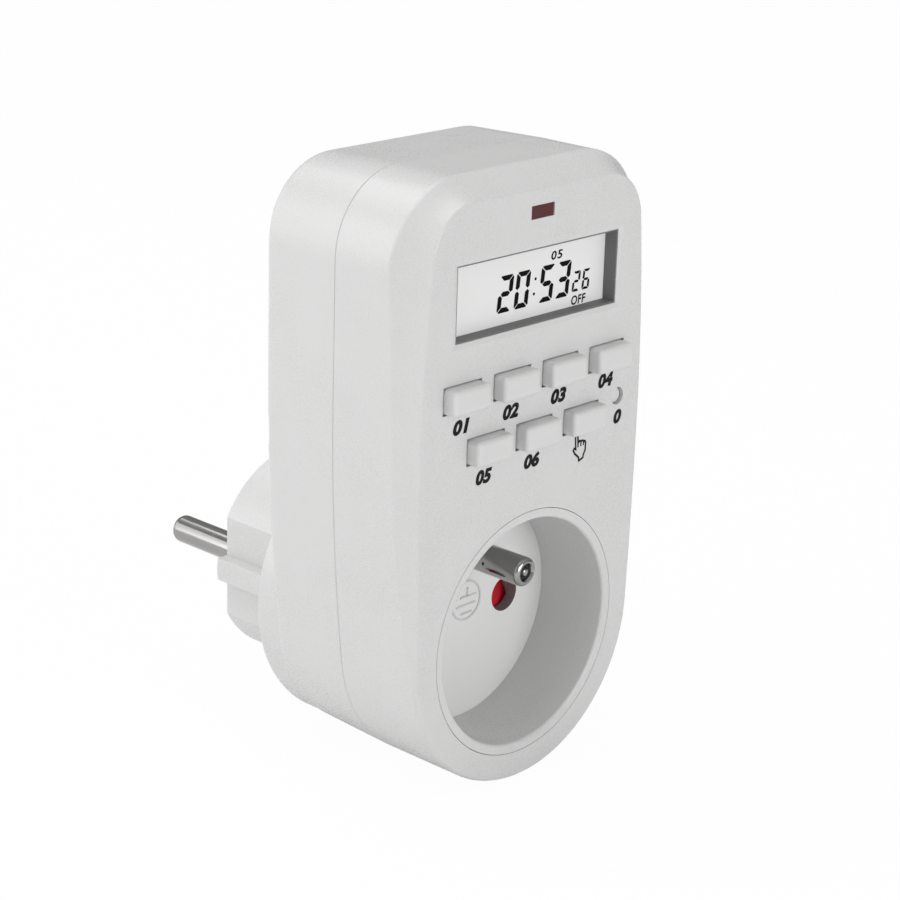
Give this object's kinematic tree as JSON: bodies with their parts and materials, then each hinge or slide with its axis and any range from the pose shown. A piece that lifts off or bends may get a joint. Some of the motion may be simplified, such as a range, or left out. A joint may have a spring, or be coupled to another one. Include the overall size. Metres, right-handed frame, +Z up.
{
  "type": "plug in timer switch",
  "caption": "Plug-in digital timer switch: tall rounded case with a display, two rows of buttons, a round earthed socket in front and a two-pin plug behind.",
  "frame": {"origin": "centre of the plug face, between the roots of the two plug pins", "axes": "+Y along the plug pins, away from the case and into the wall; +Z up along the case; -Y is the front"},
  "size_m": [0.055, 0.075, 0.1],
  "materials": {
    "case_plastic": "satin moulded",
    "button_plastic": "satin moulded",
    "shutter_plastic": "moulded",
    "inner_plastic": "moulded",
    "switch_plastic": "moulded",
    "nickel": "nickel-plated",
    "brass": "rolled strip",
    "steel": "zinc-plated",
    "board": "lacquered laminate",
    "display_dark": "matte",
    "display_glass": "polished",
    "connector_rubber": "matte",
    "lamp_red": "diffused",
    "relay_blue": "moulded",
    "copper": "enamelled wire",
    "film_yellow": "moulded",
    "capacitor_sleeve": "sleeved",
    "ribbon_grey": "flexible",
    "line_brown": "insulated",
    "neutral_blue": "insulated"
  },
  "bodies": {
    "case": {"backup_battery": "steel", "board_components": "capacitor_sleeve", "board_screws": "steel", "connector_strip": "connector_rubber", "control_board": "board", "crystal": "steel", "display_glass": "display_glass", "display_holder": "inner_plastic", "display_surround": "display_dark", "earth_clip_bottom": "nickel", "earth_clip_top": "nickel", "earth_sleeve": "brass", "earth_strap": "brass", "film_capacitor": "film_yellow", "front_housing": "case_plastic", "housing_screws": "steel", "indicator_lamp": "lamp_red", "line_contact": "brass", "line_leads": "line_brown", "neutral_contact": "brass", "neutral_leads": "neutral_blue", "pin_carrier": "inner_plastic", "plug_body": "case_plastic", "plug_pin_left": "nickel", "plug_pin_right": "nickel", "power_board": "board", "push_switches": "switch_plastic", "rear_housing": "case_plastic", "relay_base": "inner_plastic", "relay_bobbin": "inner_plastic", "relay_coil": "copper", "relay_contact": "brass", "relay_cover": "relay_blue", "relay_yoke": "steel", "ribbon_cable": "ribbon_grey", "shutter_spring": "steel", "smoothing_capacitor": "capacitor_sleeve", "socket_base": "inner_plastic", "socket_earth_pin": "nickel", "socket_insert": "case_plastic", "timer_chip": "switch_plastic"},
    "week_button": {"week_button": "button_plastic", "week_plunger": "switch_plastic"},
    "hour_button": {"hour_button": "button_plastic", "hour_plunger": "switch_plastic"},
    "minute_button": {"minute_button": "button_plastic", "minute_plunger": "switch_plastic"},
    "second_button": {"second_button": "button_plastic", "second_plunger": "switch_plastic"},
    "clock_button": {"clock_button": "button_plastic", "clock_plunger": "switch_plastic"},
    "program_button": {"program_button": "button_plastic", "program_plunger": "switch_plastic"},
    "manual_button": {"manual_button": "button_plastic", "manual_plunger": "switch_plastic"},
    "reset_button": {"reset_button": "button_plastic", "reset_plunger": "switch_plastic"},
    "shutter": {"shutter": "shutter_plastic"},
    "relay_armature": {"relay_armature": "steel", "relay_blade": "brass"}
  },
  "joints": [
    {"name": "week_press", "type": "slide", "parent": "case", "child": "week_button", "axis": [0, 1, 0], "range_m": [0, 0.0006], "stiffness_N_per_m": 1500, "springref_m": -0.0006},
    {"name": "hour_press", "type": "slide", "parent": "case", "child": "hour_button", "axis": [0, 1, 0], "range_m": [0, 0.0006], "stiffness_N_per_m": 1500, "springref_m": -0.0006},
    {"name": "minute_press", "type": "slide", "parent": "case", "child": "minute_button", "axis": [0, 1, 0], "range_m": [0, 0.0006], "stiffness_N_per_m": 1500, "springref_m": -0.0006},
    {"name": "second_press", "type": "slide", "parent": "case", "child": "second_button", "axis": [0, 1, 0], "range_m": [0, 0.0006], "stiffness_N_per_m": 1500, "springref_m": -0.0006},
    {"name": "clock_press", "type": "slide", "parent": "case", "child": "clock_button", "axis": [0, 1, 0], "range_m": [0, 0.0006], "stiffness_N_per_m": 1500, "springref_m": -0.0006},
    {"name": "program_press", "type": "slide", "parent": "case", "child": "program_button", "axis": [0, 1, 0], "range_m": [0, 0.0006], "stiffness_N_per_m": 1500, "springref_m": -0.0006},
    {"name": "manual_press", "type": "slide", "parent": "case", "child": "manual_button", "axis": [0, 1, 0], "range_m": [0, 0.0006], "stiffness_N_per_m": 1500, "springref_m": -0.0006},
    {"name": "reset_press", "type": "slide", "parent": "case", "child": "reset_button", "axis": [0, 1, 0], "range_m": [0, 0.0006], "stiffness_N_per_m": 1500, "springref_m": -0.0006},
    {"name": "shutter_slide", "type": "slide", "parent": "case", "child": "shutter", "axis": [0, 0, -1], "range_m": [0, 0.0064], "stiffness_N_per_m": 60, "springref_m": -0.004, "deforming": ["shutter_spring"]},
    {"name": "relay_armature_pivot", "type": "hinge", "parent": "case", "child": "relay_armature", "pos_m": [-0.00775, -0.0386, 0.0606], "axis": [1, 0, 0], "range_deg": [0, 1.8], "stiffness_Nm_per_rad": 0.002, "springref_deg": -5.73}
  ]
}
